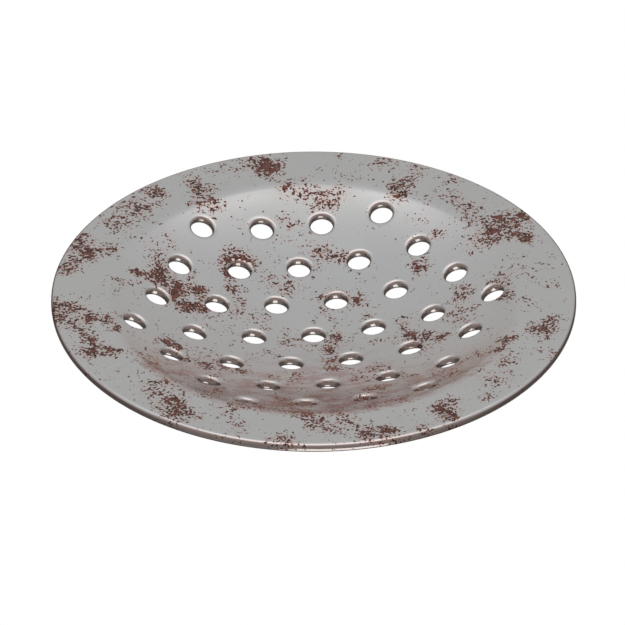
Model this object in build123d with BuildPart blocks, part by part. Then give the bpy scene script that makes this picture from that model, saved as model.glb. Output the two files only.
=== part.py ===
from build123d import *
import os
from math import acos, degrees, sqrt

# Floor drain grate: one round plate of even thickness, pressed into a shallow
# spherical dish inside a flat rim, and pierced with round drain holes.
# The origin is the centre of the rim's underside, the face that sits on the
# drain body's ledge, and +Z points up. The dish hangs below the rim.

# Driving dimensions, in millimetres
rim_diameter = 152.4
plate_thickness = 3.0
rim_edge_radius = 1.2  # rounding of the rim's outer edge, on both faces
dish_radius = 143.5  # spherical radius of the dish's upper, concave face
dish_depth = 13.0  # from the rim's upper face down to the dish's upper face
bend_radius = 8.0  # upper face of the bend between the rim and the dish
hole_diameter = 6.5
hole_edge_radius = 1.2  # rounding of each hole's edge, on both faces
hole_pitch = 17.4  # between neighbouring holes, seen from above
hole_rings = 3  # hexagonal rings of holes around the middle one

# The two centres that the curved faces are struck from, as heights above the
# rim's underside. Both faces of the plate share them, so it stays even.
dish_centre_height = plate_thickness - dish_depth + dish_radius
bend_centre_height = plate_thickness - bend_radius

# Slope of the plate where the dish runs into the bend
rise = dish_centre_height - bend_centre_height
edge_slope = degrees(acos(rise / (dish_radius + bend_radius)))

rim_radius = rim_diameter / 2
dish_floor = dish_centre_height - dish_radius
dish_underside = dish_floor - plate_thickness


def dish_height(x, y):
    """Height of the dish's upper face at a point inside the bend."""
    return dish_centre_height - sqrt(dish_radius**2 - x**2 - y**2)


def hole_places():
    """One location per hole: on the upper face, with Z square to the plate."""
    row_spacing = hole_pitch * sqrt(3) / 2
    centre = Vector(0, 0, dish_centre_height)
    places = []
    for row in range(-hole_rings, hole_rings + 1):
        for column in range(-hole_rings, hole_rings + 1):
            if abs(row + column) > hole_rings:
                continue
            x = hole_pitch * (column + row / 2)
            y = row_spacing * row
            mouth = Vector(x, y, dish_height(x, y))
            places.append(Plane(origin=mouth, z_dir=centre - mouth).location)
    return places


def edge_order(edge):
    """Sorting key by place, so that every build rounds the edges in one order."""
    middle = edge @ 0.5
    return round(middle.X, 3), round(middle.Y, 3), round(middle.Z, 3)


with BuildPart() as strainer_plate:
    # Half section of the plate, outward along the upper face, round the rim
    # and back along the underside
    with BuildSketch(Plane.XZ):
        with BuildLine():
            dish_top = JernArc((0, dish_floor), (1, 0), dish_radius, edge_slope)
            bend_top = JernArc(dish_top @ 1, dish_top % 1, bend_radius, -edge_slope)
            rim_top = Line(bend_top @ 1, (rim_radius - rim_edge_radius, plate_thickness))
            upper_edge = JernArc(rim_top @ 1, (1, 0), rim_edge_radius, -90)
            rim_wall = Line(upper_edge @ 1, (rim_radius, rim_edge_radius))
            lower_edge = JernArc(rim_wall @ 1, (0, -1), rim_edge_radius, -90)
            seat = Line(lower_edge @ 1, ((bend_top @ 1).X, 0))
            under_bend = JernArc(
                seat @ 1, (-1, 0), bend_radius - plate_thickness, edge_slope
            )
            under_dish = JernArc(
                under_bend @ 1, under_bend % 1, dish_radius + plate_thickness, -edge_slope
            )
            Line((0, dish_underside), (0, dish_floor))
        make_face()
    revolve(axis=Axis.Z)

    # The drain holes are square to the dish, so they lean in towards its centre
    with Locations(*hole_places()):
        Hole(hole_diameter / 2, plate_thickness * 2)
    hole_edges = strainer_plate.edges(Select.LAST).filter_by(GeomType.LINE, reverse=True)
    fillet(sorted(hole_edges, key=edge_order), hole_edge_radius)

strainer_plate.part.label = "strainer_plate"

os.makedirs("parts", exist_ok=True)
export_step(strainer_plate.part, "parts/strainer_plate.step")
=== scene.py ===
import math

import bmesh
import bpy
import numpy as np
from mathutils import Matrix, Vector, noise


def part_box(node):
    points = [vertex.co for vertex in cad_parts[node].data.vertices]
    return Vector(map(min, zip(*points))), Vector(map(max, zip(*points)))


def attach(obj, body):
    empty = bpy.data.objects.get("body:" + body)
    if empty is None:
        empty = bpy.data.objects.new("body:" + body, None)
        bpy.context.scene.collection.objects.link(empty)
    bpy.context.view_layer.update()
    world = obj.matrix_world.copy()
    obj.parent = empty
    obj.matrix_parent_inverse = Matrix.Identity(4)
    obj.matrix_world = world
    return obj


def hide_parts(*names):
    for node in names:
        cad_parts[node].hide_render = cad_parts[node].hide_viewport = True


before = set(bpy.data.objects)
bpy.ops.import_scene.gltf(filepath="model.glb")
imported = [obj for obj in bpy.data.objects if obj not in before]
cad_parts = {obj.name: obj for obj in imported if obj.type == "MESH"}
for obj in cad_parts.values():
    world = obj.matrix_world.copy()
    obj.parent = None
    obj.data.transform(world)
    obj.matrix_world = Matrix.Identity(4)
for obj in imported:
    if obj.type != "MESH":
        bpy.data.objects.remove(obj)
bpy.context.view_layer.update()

MM = 0.001
PLATE = "strainer_plate"

# The plate's shape. The rim comes from the CAD node's own box, and the rest
# repeats the design's driving dimensions, in metres.
box_low, box_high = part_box(PLATE)
RIM_RADIUS = box_high.x
RIM_TOP = box_high.z
THICKNESS = 3.0 * MM
RIM_EDGE_RADIUS = 1.2 * MM
DISH_RADIUS = 143.5 * MM
DISH_DEPTH = 13.0 * MM
BEND_RADIUS = 8.0 * MM
HOLE_RADIUS = 3.25 * MM
HOLE_EDGE_RADIUS = 1.2 * MM
HOLE_PITCH = 17.4 * MM
HOLE_RINGS = 3

DISH_CENTRE = np.array([0.0, 0.0, RIM_TOP - DISH_DEPTH + DISH_RADIUS])
BEND_HEIGHT = RIM_TOP - BEND_RADIUS
EDGE_SLOPE = math.acos((DISH_CENTRE[2] - BEND_HEIGHT) / (DISH_RADIUS + BEND_RADIUS))
BEND_CENTRE = (DISH_RADIUS + BEND_RADIUS) * math.sin(EDGE_SLOPE)
DISH_EDGE = DISH_RADIUS * math.sin(EDGE_SLOPE)

# Mesh density
SIDE_STEPS = 10  # along each side of a hole's hexagonal cell
ROUND_STEPS = 6  # across each rounded edge
CELL_RINGS = [1.0, 0.75, 0.5, 0.28, 0.1]  # from a cell's outline in to its hole's mouth
RIM_RINGS = [0.02, 0.1, 0.2, 0.3, 0.4, 0.5, 0.6, 0.7, 0.8, 0.9, 0.97]  # across the flat rim
MERGE_DISTANCE = 0.5e-6  # in metres; points of neighbouring skins closer than this join


# --- the plate's mesh ------------------------------------------------------

def on_dish(flat):
    """Points of the dish's upper face above these plan positions."""
    height = DISH_CENTRE[2] - np.sqrt(DISH_RADIUS**2 - (flat**2).sum(axis=1))
    return np.column_stack([flat, height])


def through_dish(points):
    """The points of the dish's underside square below points of its upper face."""
    return DISH_CENTRE + (points - DISH_CENTRE) * (DISH_RADIUS + THICKNESS) / DISH_RADIUS


def hole_centres():
    """Plan position of each hole: a centred hexagonal pattern, rows along X."""
    row_spacing = HOLE_PITCH * math.sqrt(3) / 2
    return [
        (HOLE_PITCH * (column + row / 2), row_spacing * row, (column, row))
        for row in range(-HOLE_RINGS, HOLE_RINGS + 1)
        for column in range(-HOLE_RINGS, HOLE_RINGS + 1)
        if abs(row + column) <= HOLE_RINGS
    ]


HOLES = hole_centres()


def in_pattern(column, row):
    """Whether the pattern has a hole at this place."""
    return max(abs(column), abs(row), abs(column + row)) <= HOLE_RINGS


def cell_outline(x, y, place):
    """The hole's hexagonal cell in plan. Where it faces no other hole, it is
    pushed out to the circle where the dish meets the bend."""
    neighbours = [(1, 0), (0, 1), (-1, 1), (-1, 0), (0, -1), (1, -1)]
    shared = [in_pattern(place[0] + c, place[1] + r) for c, r in neighbours]
    centre = np.array([x, y])
    corner_turns = np.radians(60 * np.arange(6) - 30)
    corners = centre + HOLE_PITCH / math.sqrt(3) * np.column_stack(
        [np.cos(corner_turns), np.sin(corner_turns)]
    )

    def pushed_out(point):
        return point * DISH_EDGE / np.linalg.norm(point)

    outline = []
    for side in range(6):
        ends = [corners[side], corners[(side + 1) % 6]]
        if shared[side]:
            if not shared[side - 1]:
                ends[0] = pushed_out(ends[0])
            if not shared[(side + 1) % 6]:
                ends[1] = pushed_out(ends[1])
        for step in range(SIDE_STEPS):
            turn = math.radians(60 * step / SIDE_STEPS - 30)
            share = (1 + math.tan(turn) / math.tan(math.radians(30))) / 2
            point = ends[0] + (ends[1] - ends[0]) * share
            outline.append(point if shared[side] else pushed_out(point))
    return np.array(outline)


def hole_stations(x, y, place):
    """Rings of points from the cell's outline on the upper face, down
    through the hole, and out to the cell's outline on the underside."""
    outline = cell_outline(x, y, place)
    mouth = on_dish(np.array([[x, y]]))[0]
    axis = DISH_CENTRE - mouth
    axis /= np.linalg.norm(axis)
    across = np.cross([0.0, 1.0, 0.0], axis)
    across /= np.linalg.norm(across)
    along = np.cross(axis, across)
    count = 6 * SIDE_STEPS
    angles = np.radians(360 * np.arange(count) / count - 30)
    ring = np.outer(np.cos(angles), across) + np.outer(np.sin(angles), along)

    def loop(radius, distance):
        """A circle round the hole's axis, at a distance from the dish's centre."""
        return DISH_CENTRE - axis * distance + ring * radius

    round_centre = HOLE_RADIUS + HOLE_EDGE_RADIUS
    upper = math.sqrt((DISH_RADIUS + HOLE_EDGE_RADIUS) ** 2 - round_centre**2)
    lower_sphere = DISH_RADIUS + THICKNESS - HOLE_EDGE_RADIUS
    lower = math.sqrt(lower_sphere**2 - round_centre**2)
    upper_tilt = math.asin(round_centre / (DISH_RADIUS + HOLE_EDGE_RADIUS))
    lower_tilt = math.asin(round_centre / lower_sphere)
    walls = []
    for step in range(ROUND_STEPS + 1):
        turn = upper_tilt + (math.pi / 2 - upper_tilt) * step / ROUND_STEPS
        walls.append(loop(
            round_centre - HOLE_EDGE_RADIUS * math.sin(turn),
            upper - HOLE_EDGE_RADIUS * math.cos(turn),
        ))
    for step in range(ROUND_STEPS + 1):
        turn = (math.pi / 2 + lower_tilt) * step / ROUND_STEPS
        walls.append(loop(
            round_centre - HOLE_EDGE_RADIUS * math.cos(turn),
            lower + HOLE_EDGE_RADIUS * math.sin(turn),
        ))
    lip = walls[0][:, :2]
    field = [on_dish(lip + (outline - lip) * share) for share in CELL_RINGS]
    under_lip = walls[-1]
    under_outline = through_dish(field[0])
    under = []
    for share in reversed(CELL_RINGS):
        flat = under_lip + (under_outline - under_lip) * share
        offset = flat - DISH_CENTRE
        reach = np.linalg.norm(offset, axis=1, keepdims=True)
        under.append(DISH_CENTRE + offset * (DISH_RADIUS + THICKNESS) / reach)
    return field + walls + under


def edge_angles():
    """Angles of the cells' outermost points, in order round the plate."""
    angles = []
    for x, y, place in HOLES:
        outline = cell_outline(x, y, place)
        on_edge = np.abs(np.linalg.norm(outline, axis=1) - DISH_EDGE) < 1e-9
        angles += list(np.arctan2(outline[on_edge, 1], outline[on_edge, 0]))
    ordered = []
    for angle in sorted(angles):
        if not ordered or angle - ordered[-1] > 1e-6:
            ordered.append(angle)
    return np.array(ordered)


def rim_stations():
    """Rings from the dish's edge on the upper face, over the bend, out to the
    rim, round its edge and back along the underside."""
    angles = edge_angles()
    circle = np.column_stack([np.cos(angles), np.sin(angles)])

    def loop(radius, height):
        return np.column_stack([circle * radius, np.full(len(circle), height)])

    def bend(radius):
        return [
            loop(BEND_CENTRE - radius * math.sin(turn), BEND_HEIGHT + radius * math.cos(turn))
            for turn in np.linspace(EDGE_SLOPE, 0, ROUND_STEPS + 1)
        ]

    flat_width = RIM_RADIUS - RIM_EDGE_RADIUS - BEND_CENTRE
    flat_radii = BEND_CENTRE + flat_width * np.array(RIM_RINGS)
    edge = []
    for step in range(ROUND_STEPS + 1):
        turn = math.pi / 2 * step / ROUND_STEPS
        edge.append((
            RIM_RADIUS - RIM_EDGE_RADIUS * (1 - math.sin(turn)),
            RIM_EDGE_RADIUS * (1 - math.cos(turn)),
        ))
    upper_edge = [loop(radius, RIM_TOP - drop) for radius, drop in edge]
    lower_edge = [loop(radius, RIM_TOP - THICKNESS + drop) for radius, drop in reversed(edge)]
    return (
        bend(BEND_RADIUS)
        + [loop(radius, RIM_TOP) for radius in flat_radii]
        + upper_edge
        + lower_edge
        + [loop(radius, RIM_TOP - THICKNESS) for radius in flat_radii[::-1]]
        + bend(BEND_RADIUS - THICKNESS)[::-1]
    )


def skin(mesh, stations, flip):
    """Joins successive rings of points with quads."""
    rings = [[mesh.verts.new(point) for point in station] for station in stations]
    for inner, outer in zip(rings, rings[1:]):
        for here in range(len(inner)):
            there = (here + 1) % len(inner)
            corners = [inner[here], outer[here], outer[there], inner[there]]
            mesh.faces.new(corners[::-1] if flip else corners)


def plate_mesh():
    """The whole plate as one closed skin of quads."""
    mesh = bmesh.new()
    for x, y, place in HOLES:
        skin(mesh, hole_stations(x, y, place), flip=True)
    skin(mesh, rim_stations(), flip=False)
    bmesh.ops.remove_doubles(mesh, verts=mesh.verts, dist=MERGE_DISTANCE)
    for face in mesh.faces:
        face.smooth = True
    data = bpy.data.meshes.new("strainer_plate_skin")
    mesh.to_mesh(data)
    mesh.free()
    return data


plate = bpy.data.objects.new("rusty_strainer_plate", plate_mesh())
bpy.context.scene.collection.objects.link(plate)
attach(plate, "root")
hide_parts(PLATE)


# --- nodes -----------------------------------------------------------------

class Tree:
    """A node tree written as nested calls: numbers and sockets go in alike."""

    def __init__(self, owner):
        owner.use_nodes = True
        self.tree = owner.node_tree
        self.tree.nodes.clear()

    def add(self, kind, inputs=(), output=0, **settings):
        """A new shader node with these inputs, as its chosen output socket."""
        node = self.tree.nodes.new("ShaderNode" + kind)
        for name, value in settings.items():
            setattr(node, name, value)
        pairs = inputs.items() if isinstance(inputs, dict) else enumerate(inputs)
        for key, value in pairs:
            socket = node.inputs[key]
            if isinstance(value, bpy.types.NodeSocket):
                self.tree.links.new(value, socket)
            else:
                socket.default_value = value
        return node.outputs[output] if node.outputs else node

    def math(self, operation, *values):
        return self.add("Math", values, operation=operation)

    def step(self, value, low, high, start=0.0, end=1.0):
        """A smooth step from start to end as value goes from low to high."""
        return self.add(
            "MapRange", (value, low, high, start, end), interpolation_type="SMOOTHSTEP"
        )

    def mix(self, share, first, second):
        """A blend of two colours, from the first to the second as share goes to 1."""
        return self.add(
            "Mix", {0: share, 6: first, 7: second}, output=2, data_type="RGBA"
        )

    def noise(self, vector, scale, detail=2.0, roughness=0.5):
        return self.add("TexNoise", {
            "Vector": vector, "Scale": scale, "Detail": detail, "Roughness": roughness
        }, normalize=True)

    def ramp(self, value, stops):
        """A colour ramp through these (position, colour) stops."""
        made = self.add("ValToRGB", (value,))
        ramp = made.node.color_ramp
        for _ in stops[2:]:
            ramp.elements.new(0.5)
        for element, (position, colour) in zip(ramp.elements, stops):
            element.position, element.color = position, (*colour, 1.0)
        return made


# --- material --------------------------------------------------------------

DULL_STEEL = (0.64, 0.577, 0.545, 1)
BRIGHT_STEEL = (0.68, 0.617, 0.586, 1)
# brown film colour: partly real staining, partly a painted reflection of the rusty back wall
BROWN_FILM_AND_REFLECTION = (0.42, 0.18, 0.145, 1)
BROWN_STAIN = (0.66, 0.39, 0.32, 1)
THIN_RUST = (0.022, 0.007, 0.004, 1)
THICK_RUST = (0.23, 0.060, 0.034, 1)

# Noise scales, in features per metre
FLECKS = 1250.0
FLECK_TONES = 600.0
BLOTCHES = 400.0
FILM_AND_REFLECTION_CLOUDS = 300.0
STEEL_CLOUDS = 90.0
COVER_CLOUDS = 90.0

# What blotches and cover add to the fine noise, and the levels of the sum
# between which the stain and the rust come in
BLOTCH_SHARE = 0.6
COVER_SHARE = 0.35
STAIN_LEVELS = (0.59, 0.70)
RUST_LEVELS = (0.705, 0.718)

# What tone noise and the brown film (partly a painted reflection of the rusty back wall) add
# to that sum, and the levels of the result between which thin rust turns into thick
TONE_SHARE = 0.45
FILM_AND_REFLECTION_TONE_SHARE = 0.25
TONE_LEVELS = (0.95, 1.20)

# The streaks of the brown film and painted reflection run along X. Between these levels of
# its noise, its own strength is multiplied by the first number up to the second.
FILM_AND_REFLECTION_STRETCH = (0.45, 1, 1)
FILM_AND_REFLECTION_LEVELS = (0.42, 0.60)
FILM_AND_REFLECTION_STRENGTHS = (0.25, 1.5)

STEEL_ROUGHNESS = (0.10, 0.15)
RUST_ROUGHNESS = 0.45
RUST_METALLIC = 0.3
BUMP_STRENGTH = 0.25
BUMP_HEIGHT = 0.05 * MM


def rusty_steel():
    """Worn satin steel with rust where the mesh's stored measures say it lies, and a brown film
    on the front wall that is partly real staining and partly a painted reflection of the rusty
    back wall.
    """
    material = bpy.data.materials.new("rusty_steel")
    t = Tree(material)
    place = t.add("TexCoord", output="Object")
    cover = t.add("Attribute", output="Fac", attribute_name="rust_cover")

    # rust sits where fine noise, blotches and the cover together pass a level
    fine = t.noise(place, FLECKS, detail=1.0, roughness=0.7)
    blotch = t.noise(place, BLOTCHES, detail=2.0, roughness=0.6)
    level = t.math("MULTIPLY_ADD", t.math("SUBTRACT", blotch, 0.5), BLOTCH_SHARE, fine)
    level = t.math("MULTIPLY_ADD", cover, COVER_SHARE, level)
    rust = t.step(level, *RUST_LEVELS)

    # dark where it is thin, redder where it is thick or under the brown film and painted
    # reflection
    film_and_reflection = t.add("Attribute", output="Fac", attribute_name="brown_film_and_reflection")
    tone = t.math("MULTIPLY_ADD", t.noise(place, FLECK_TONES), TONE_SHARE, level)
    tone = t.math("MULTIPLY_ADD", film_and_reflection, FILM_AND_REFLECTION_TONE_SHARE, tone)
    rust_colour = t.mix(t.step(tone, *TONE_LEVELS), THIN_RUST, THICK_RUST)

    # steel under a streaky brown film on the dish's front wall, partly real staining and partly
    # a painted reflection of the rusty back wall, with a brown stain round the flecks that is
    # strongest where the cover is thick
    steel_colour = t.mix(t.noise(place, STEEL_CLOUDS, detail=4.0), DULL_STEEL, BRIGHT_STEEL)
    streaky = t.add("VectorMath", (place, FILM_AND_REFLECTION_STRETCH), operation="MULTIPLY")
    clouds = t.noise(streaky, FILM_AND_REFLECTION_CLOUDS, detail=5.0, roughness=0.75)
    film_and_reflection = t.math("MULTIPLY", film_and_reflection, t.step(clouds, *FILM_AND_REFLECTION_LEVELS, *FILM_AND_REFLECTION_STRENGTHS))
    steel_colour = t.mix(film_and_reflection, steel_colour, BROWN_FILM_AND_REFLECTION)
    stain = t.step(level, *STAIN_LEVELS, 0.0, 0.9)
    stain = t.math("MULTIPLY", stain, t.step(cover, -0.1, 0.3, 0.25, 1.0))
    steel_colour = t.mix(stain, steel_colour, BROWN_STAIN)

    smear = t.step(t.noise(place, BLOTCHES, detail=3.0), 0.2, 0.8, *STEEL_ROUGHNESS)
    roughness = t.add("Mix", {0: rust, 2: smear, 3: RUST_ROUGHNESS}, data_type="FLOAT")
    bump = t.add("Bump", {"Strength": BUMP_STRENGTH, "Distance": BUMP_HEIGHT, "Height": rust})
    shader = t.add("BsdfPrincipled", {
        "Base Color": t.mix(rust, steel_colour, rust_colour),
        "Metallic": t.step(rust, 0.0, 1.0, 1.0, RUST_METALLIC),
        "Roughness": roughness,
        "Normal": bump,
    })
    t.add("OutputMaterial", {"Surface": shader})
    return material


# Rust patches, listed one by one on the plate in millimetres: x, y, size, strength
RUST_PATCHES = [
    # rim, from the back round to the left
    (-6, 71, 4, 0.85), (-2, 69, 3.5, 0.9), (-4, 66, 3, 0.85), (18, 72, 3, 0.55),
    (-27, 65, 3.5, 0.65), (-25, 60, 4, 0.8), (-24, 54, 3, 0.75),
    (-38, 60, 3.5, 0.9), (-45, 58, 4, 0.25), (-44, 53, 3.5, 0.55), (-49, 54, 3, 0.3),
    (-51, 46, 4, 0.35), (-62, 41, 3, 0.55), (-65, 36, 4, 0.6), (-61, 31, 4, 0.85),
    (-55, 33, 3, 0.6), (-66, 28, 3, 0.55), (-69, 24, 3.5, 0.75),
    (-74, 5, 3.5, 0.75), (-75, -1, 3, 0.8), (-70, 4, 3, 0.7), (-66, -1, 3, 0.9),
    (-62, -3, 3, 0.7), (-71, -4, 3.5, 0.75), (-68, -9, 4, 0.65), (-59, -7, 2.5, 0.9),
    (-68, -19, 3.5, 0.95), (-63, -19, 3, 0.95), (-68, -14, 3, 0.6),
    # rim, along the front
    (-53, -39, 5, 0.55), (-48, -47, 4, 0.7), (-47, -53, 4, 0.75), (-43, -56, 3, 0.6),
    (-33, -53, 4, 0.5), (-31, -63, 4, 0.45), (-11, -59, 3.5, 0.95), (-10, -65, 3, 0.7),
    (-5, -68, 4, 0.35), (-19, -71, 3, 0.8), (1, -63, 3, 0.45), (11, -71, 3.5, 1.0),
    (5, -72, 3, 0.65), (22, -71, 3, 0.8), (29, -62, 3.5, 1.0), (31, -66, 3, 0.8),
    (32, -58, 3, 0.6), (43, -58, 3, 0.75), (46, -48, 5, 0.35), (51, -41, 4, 0.6),
    (50, -34, 3, 0.5),
    # rim, round the right
    (53, -29, 3, 0.85), (60, -25, 3, 0.6), (64, -26, 3.5, 0.95), (67, -21, 3, 0.8),
    (69, -4, 4, 0.5), (65, 22, 3.5, 0.95), (55, 22, 3.5, 0.6), (56, 27, 3.5, 0.85),
    (51, 33, 3, 0.5), (59, 32, 3.5, 0.85), (60, 24, 3, 0.8), (65, 33, 3.5, 0.9),
    (62, 28, 5, 0.55),
    (50, 41, 4, 0.6), (46, 45, 4, 0.4), (39, 62, 3, 0.55),
    (33, 54, 3.5, 0.75), (32, 50, 3.5, 0.95), (36, 57, 4, 0.4), (30, 66, 4, 0.4),
    # the dish, back half
    (7, 56, 4, 0.55), (12, 52, 3.5, 0.75), (15, 55, 3, 0.5), (0, 58, 3, 0.55),
    (-2, 49, 2.5, 0.6), (1, 46, 2, 0.5), (-45, 36, 5, 0.3), (7, 36, 4, 0.35),
    (11, 33, 3.5, 0.75), (15, 31, 3, 0.85), (41, 32, 2, 0.7), (-21, 33, 3, 0.9),
    (-21, 28, 2.5, 0.85), (-16, 35, 3, 0.8), (-13, 33, 2, 0.6), (34, 22, 3, 0.7),
    (-21, 22, 3, 0.75), (-19, 17, 2.5, 0.5), (-41, 27, 2.5, 0.7), (-43, 23, 3.5, 0.9),
    (-47, 23, 3, 0.75), (-37, 20, 3.5, 1.0), (-31, 20, 3.5, 1.0), (-39, 16, 3, 1.0),
    (-36, 12, 3.5, 1.0), (-31, 13, 3, 1.0), (10, 17, 2.5, 0.8), (6, 17, 2, 0.6),
    (15, 13, 3, 0.8), (17, 6, 2, 0.7), (45, 7, 3, 0.65), (44, 3, 3, 0.6),
    (53, 3, 3.5, 0.8), (55, -4, 3, 0.8),
    # the dish, front half
    (6, -3, 3, 0.8), (3, -9, 2.5, 0.8), (3, -15, 3, 0.6), (-8, -3, 3.5, 0.65),
    (-12, -10, 3, 0.4), (27, -8, 3, 0.95), (28, -13, 2.5, 0.9), (32, -11, 2.5, 0.8),
    (35.5, -14, 2.5, 1.0), (45, -13, 2.5, 0.4), (18, -8, 3, 0.5), (3, -21, 3, 0.6),
    (8, -29, 3.5, 0.6),
    (-44, -8, 3, 0.95), (-41, -11, 2.5, 0.9), (-39, -17, 3, 0.75), (-34, -20, 3, 0.85),
    (-29, -19, 2.5, 0.8), (-24, -21, 3, 0.9), (-52, -22, 3, 0.55), (-49, -29, 4, 0.45),
    (-33, -26, 3, 0.6),
    (-46, -36, 4, 0.45), (-16, -24, 3.5, 0.6), (-8, -24, 3, 0.6), (15, -24, 3, 0.65),
    (24, -34, 4, 0.4), (30, -36, 3, 0.35), (8, -44, 3.5, 0.85), (13, -39, 4, 0.7),
    (-15, -42, 4, 0.75), (-14, -48, 3.5, 0.85), (-6, -37, 4, 0.35), (-33, -37, 3, 0.5),
    (-37, -44, 4, 0.5),
    (-30, -50, 4, 0.5), (-22, -53, 4, 0.6), (-12, -56, 4, 0.7), (-2, -58, 4, 0.75),
    (8, -57, 4, 0.5), (18, -53, 4, 0.45), (27, -47, 4, 0.5), (35, -41, 4, 0.5),
    (43, -32, 4, 0.5),
]


def in_hole(point):
    """Whether a point is, seen from above, in a hole or on the inner part of its
    rounded mouth."""
    reach = HOLE_RADIUS + 0.6 * HOLE_EDGE_RADIUS
    return any(math.hypot(point.x - x, point.y - y) < reach for x, y, _ in HOLES)


# Between the patches the cover is this much of a broad noise, less the offset
BROAD_SHARE = 0.5
BROAD_OFFSET = 0.09


def cover_at(point):
    """How thick the rust lies at a point of the plate: its patches, and broad
    clouds between them. It is thinner in the holes."""
    x, y = point.x / MM, point.y / MM
    clean = 1.0
    for patch_x, patch_y, size, strength in RUST_PATCHES:
        distance = ((x - patch_x) ** 2 + (y - patch_y) ** 2) / size**2
        if distance < 6:
            clean *= 1 - min(strength, 0.999) * math.exp(-distance)
    broad = noise.fractal(point * COVER_CLOUDS, 1.0, 2.0, 4)
    cover = 1 - clean + clean * (BROAD_SHARE * broad - BROAD_OFFSET)
    return 0.6 * cover - 0.15 if in_hole(point) else cover


# The brown film on the dish's front wall, partly real staining and partly a painted reflection
# of the rusty back wall: x, y, half width, half depth, strength
FILM_AND_REFLECTION_PATCHES = [
    (0, -50, 32, 12, 0.7), (-22, -32, 22, 12, 0.4), (4, -30, 16, 18, 0.3),
    (-47, -28, 9, 9, 0.5), (36, -38, 16, 9, 0.4),
]


def film_and_reflection_at(point):
    """How thick the brown film lies at a point of the plate: partly real staining, partly a
    painted reflection of the rusty back wall. It stops at the bend.
    """
    x, y = point.x / MM, point.y / MM
    if math.hypot(point.x, point.y) > BEND_CENTRE:
        return 0.0
    clean = 1.0
    for patch_x, patch_y, half_width, half_depth, strength in FILM_AND_REFLECTION_PATCHES:
        distance = ((x - patch_x) / half_width) ** 2 + ((y - patch_y) / half_depth) ** 2
        clean *= 1 - strength * math.exp(-distance)
    return (1 - clean) * (0.4 if in_hole(point) else 1.0)


def add_measure(mesh, name, measure):
    """Stores a value worked out at each vertex for the material to read."""
    attribute = mesh.attributes.new(name, "FLOAT", "POINT")
    attribute.data.foreach_set("value", [measure(vertex.co) for vertex in mesh.vertices])


add_measure(plate.data, "rust_cover", cover_at)
# stores the brown film, partly a painted reflection of the rusty back wall, for the material
add_measure(plate.data, "brown_film_and_reflection", film_and_reflection_at)
plate.data.materials.append(rusty_steel())


# --- camera ----------------------------------------------------------------

VIEW_AZIMUTH = -8.05
VIEW_ELEVATION = 34.17
VIEW_WIDTH = 181.36 * MM
VIEW_LEFT = 0.345 * MM  # how far the view's middle is from the rim's, left and down
VIEW_DOWN = 4.376 * MM
VIEW_DISTANCE = 0.6


def direction(azimuth, elevation):
    """Unit vector to a place seen from the plate. Azimuth 0 is the camera's
    side and 90 its right; elevation is above the horizon, both in degrees."""
    a, e = math.radians(VIEW_AZIMUTH + azimuth), math.radians(elevation)
    return Vector((math.sin(a) * math.cos(e), -math.cos(a) * math.cos(e), math.sin(e)))


def facing(back):
    """Rotation that points an object's -Z away from the direction back."""
    return back.to_track_quat("Z", "Y")


def link(name, data, back, distance, target):
    """A camera or light at a distance from its target, looking at it."""
    made = bpy.data.objects.new(name, data)
    bpy.context.scene.collection.objects.link(made)
    made.rotation_mode = "QUATERNION"
    made.rotation_quaternion = facing(back)
    made.location = target + back * distance
    return made


def make_camera():
    data = bpy.data.cameras.new("camera")
    data.type = "ORTHO"
    data.ortho_scale = VIEW_WIDTH
    back = direction(0, VIEW_ELEVATION)
    right, up = facing(back) @ Vector((1, 0, 0)), facing(back) @ Vector((0, 1, 0))
    target = Vector((0, 0, RIM_TOP)) - right * VIEW_LEFT - up * VIEW_DOWN
    return link("camera", data, back, VIEW_DISTANCE, target)


bpy.context.scene.camera = make_camera()


# --- studio ----------------------------------------------------------------

BACKDROP_RADIUS = 5.0
FLOOR_HEIGHT = box_low.z - 0.1 * MM


def softbox(name, azimuth, elevation, distance, width, depth, radiance):
    """A rectangular light of even radiance that faces the plate."""
    data = bpy.data.lights.new(name, "AREA")
    data.shape = "RECTANGLE"
    data.size, data.size_y = width, depth
    data.energy = radiance * math.pi * width * depth
    return link(name, data, direction(azimuth, elevation), distance, Vector((0, 0, 0)))


def make_backdrop():
    """A plain white floor inside a white sphere. Only the camera sees them: the
    plate is lit by the softbox and the studio's own tones."""
    white = bpy.data.materials.new("white_backdrop")
    t = Tree(white)
    t.add("OutputMaterial", {"Surface": t.add("Emission", {"Color": (1, 1, 1, 1)})})
    mesh = bmesh.new()
    bmesh.ops.create_icosphere(mesh, subdivisions=5, radius=BACKDROP_RADIUS)
    floor = bmesh.ops.create_circle(mesh, cap_ends=True, segments=64, radius=BACKDROP_RADIUS)
    bmesh.ops.translate(mesh, verts=floor["verts"], vec=(0, 0, FLOOR_HEIGHT))
    data = bpy.data.meshes.new("backdrop")
    mesh.to_mesh(data)
    mesh.free()
    data.materials.append(white)
    backdrop = bpy.data.objects.new("backdrop", data)
    bpy.context.scene.collection.objects.link(backdrop)
    for ray in ("diffuse", "glossy", "transmission", "volume_scatter", "shadow"):
        setattr(backdrop, f"visible_{ray}", False)


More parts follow.
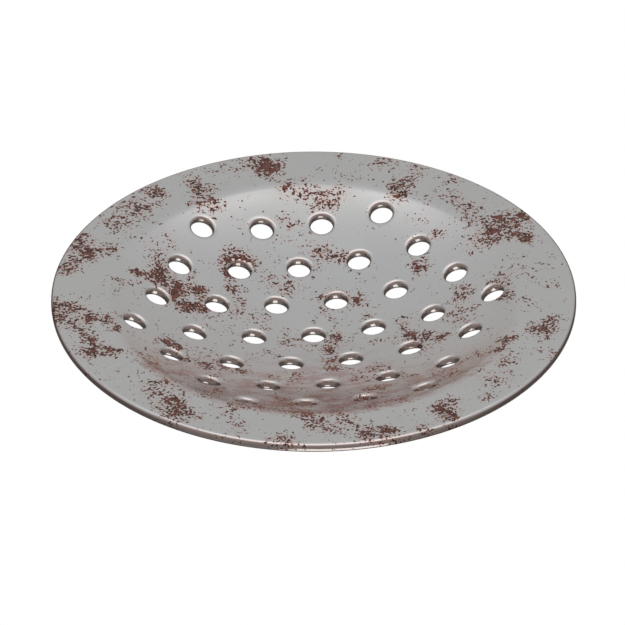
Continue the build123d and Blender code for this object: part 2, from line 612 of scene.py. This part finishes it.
def make_studio_tones():
    """The studio's own light, as tones up three sides of the room: cool behind
    the plate, a broad white glow overhead, dim on the camera's side, dark below."""
    world = bpy.data.worlds.new("studio")
    bpy.context.scene.world = world
    t = Tree(world)
    ray = t.add("TexCoord", output="Generated")
    rise = t.math("ARCSINE", t.add("SeparateXYZ", (ray,), output="Z"))
    height = t.math("MULTIPLY_ADD", rise, 1 / math.pi, 0.5)
    level_ray = t.add("VectorMath", (ray, (1, 1, 0)), operation="MULTIPLY")
    heading = t.add("VectorMath", (level_ray,), operation="NORMALIZE")
    nearness = t.add(
        "VectorMath", {0: heading, 1: direction(0, 0)}, output="Value", operation="DOT_PRODUCT"
    )

    def tones(*stops):
        """A ramp through (degrees above the horizon, colour) stops."""
        return t.ramp(height, [(0.5 + degrees / 180, colour) for degrees, colour in stops])

    zenith = (90, (1.12, 1.15, 1.17))
    far = tones(
        (-5, (0.09, 0.085, 0.08)), (3, (0.45, 0.44, 0.43)), (8, (0.485, 0.49, 0.49)),
        (14, (0.525, 0.555, 0.57)), (20, (0.53, 0.57, 0.595)), (34, (0.56, 0.618, 0.645)),
        (58, (0.60, 0.668, 0.71)), (70, (0.675, 0.75, 0.79)), (80, (0.83, 0.91, 0.945)), zenith,
    )
    near = tones(
        (-60, (0.22, 0.21, 0.21)), (-30, (0.22, 0.205, 0.20)), (5, (0.29, 0.245, 0.24)),
        (30, (0.34, 0.30, 0.29)), (48, (0.55, 0.52, 0.52)), (60, (1.35, 1.32, 1.33)),
        (75, (1.35, 1.34, 1.37)), zenith,
    )
    sides = tones(
        (-8, (0.11, 0.095, 0.09)), (5, (0.34, 0.305, 0.295)), (30, (0.55, 0.59, 0.63)),
        (45, (0.68, 0.73, 0.77)), (60, (0.94, 1.01, 1.06)), (75, (1.18, 1.28, 1.35)), zenith,
    )
    colour = t.mix(t.step(nearness, 0.0, 0.7), sides, near)
    colour = t.mix(t.step(nearness, -0.45, -0.95), colour, far)
    t.add("OutputWorld", {"Surface": t.add("Background", {"Color": colour})})


make_backdrop()
make_studio_tones()
softbox(
    "low_fill", azimuth=12, elevation=-50, distance=1.0, width=0.6, depth=0.62, radiance=1.1
)
bpy.context.scene.view_settings.view_transform = "Standard"
